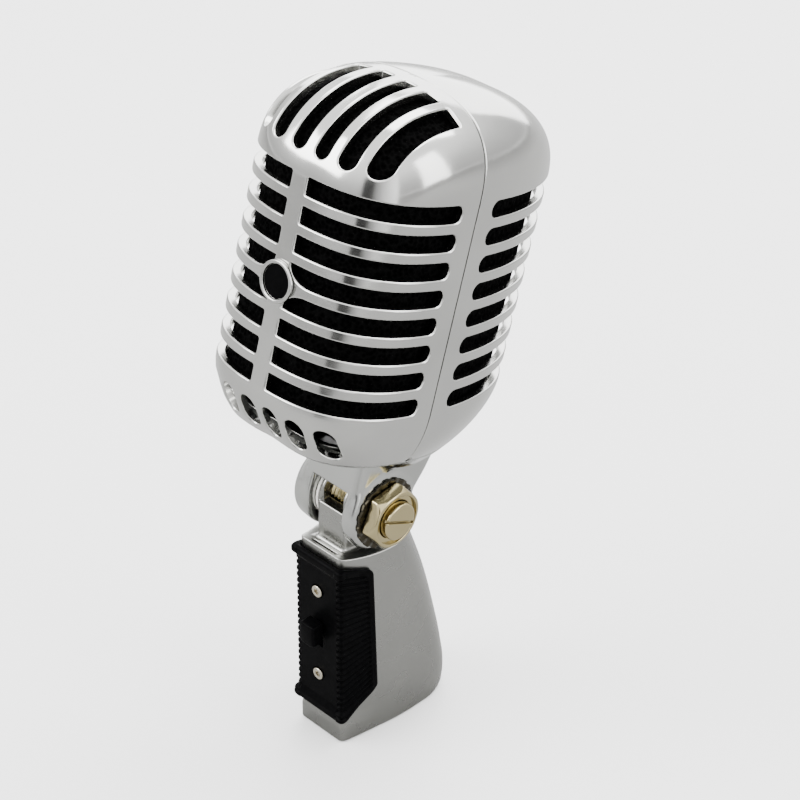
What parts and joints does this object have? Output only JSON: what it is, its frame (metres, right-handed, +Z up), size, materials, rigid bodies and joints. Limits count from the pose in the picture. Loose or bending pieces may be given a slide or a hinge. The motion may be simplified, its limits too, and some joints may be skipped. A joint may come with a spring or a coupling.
{
  "type": "desktop microphone",
  "caption": "Vintage-style desktop microphone: slotted plated metal head with foam lining on a tilting yoke, above a hollow cast base with a slide switch.",
  "frame": {"origin": "axis of the threaded stand insert, in the plane of the base's underside", "axes": "+Z up, -Y towards the speaker (the side with the badge and the switch), +X towards the nut of the pivot"},
  "size_m": [0.0568, 0.0947, 0.1914],
  "materials": {
    "satin_chrome": "satin chrome plating on die-cast zinc",
    "satin_cast": "satin nickel-chrome plating on die-cast zinc",
    "champagne_nickel": "brushed warm nickel",
    "plain_steel": "plain sheet steel",
    "dark_steel": "blackened spring steel",
    "nickel": "nickel plated",
    "brass": "turned brass",
    "magnet_grey": "ground magnet alloy",
    "copper_wire": "enamelled copper wire",
    "black_plastic": "moulded, fine grain",
    "black_enamel": "smooth black enamel",
    "foam": "open-cell acoustic foam",
    "rubber": "soft black rubber",
    "nylon": "natural nylon",
    "film": "thin polyester film"
  },
  "bodies": {
    "base": {"base_body": "satin_cast", "switch_cover": "black_plastic", "cover_screw_upper": "nickel", "cover_screw_lower": "nickel", "switch_body": "plain_steel", "socket_insert": "black_plastic", "socket_pin_1": "nickel", "socket_pin_2": "nickel", "socket_pin_3": "nickel", "socket_set_screw": "plain_steel", "stand_insert": "brass"},
    "head": {"front_grille": "satin_chrome", "rear_grille": "satin_chrome", "foam_liner_front": "foam", "foam_liner_rear": "foam", "badge_rim": "satin_chrome", "badge_disc": "black_enamel", "swivel_yoke": "satin_chrome", "pivot_nut": "champagne_nickel", "pivot_bolt": "champagne_nickel", "lock_washer": "dark_steel", "friction_washer_left": "nylon", "friction_washer_right": "nylon", "capsule_housing": "black_plastic", "capsule_cap": "plain_steel", "diaphragm": "film", "voice_coil": "copper_wire", "pole_piece": "plain_steel", "magnet": "magnet_grey", "magnet_cup": "plain_steel", "shock_ring_front": "rubber", "shock_ring_rear": "rubber", "capsule_bracket": "plain_steel", "bracket_screw": "plain_steel"},
    "slider": {"switch_knob": "black_plastic"}
  },
  "joints": [
    {"name": "head_tilt", "type": "hinge", "parent": "base", "child": "head", "pos_m": [0, -0.0071, 0.0742], "axis": [1, 0, 0], "range_deg": [-43.6, 61.4]},
    {"name": "switch_slide", "type": "slide", "parent": "base", "child": "slider", "axis": [0, 0, 1], "range_m": [-0.004, 0]}
  ]
}
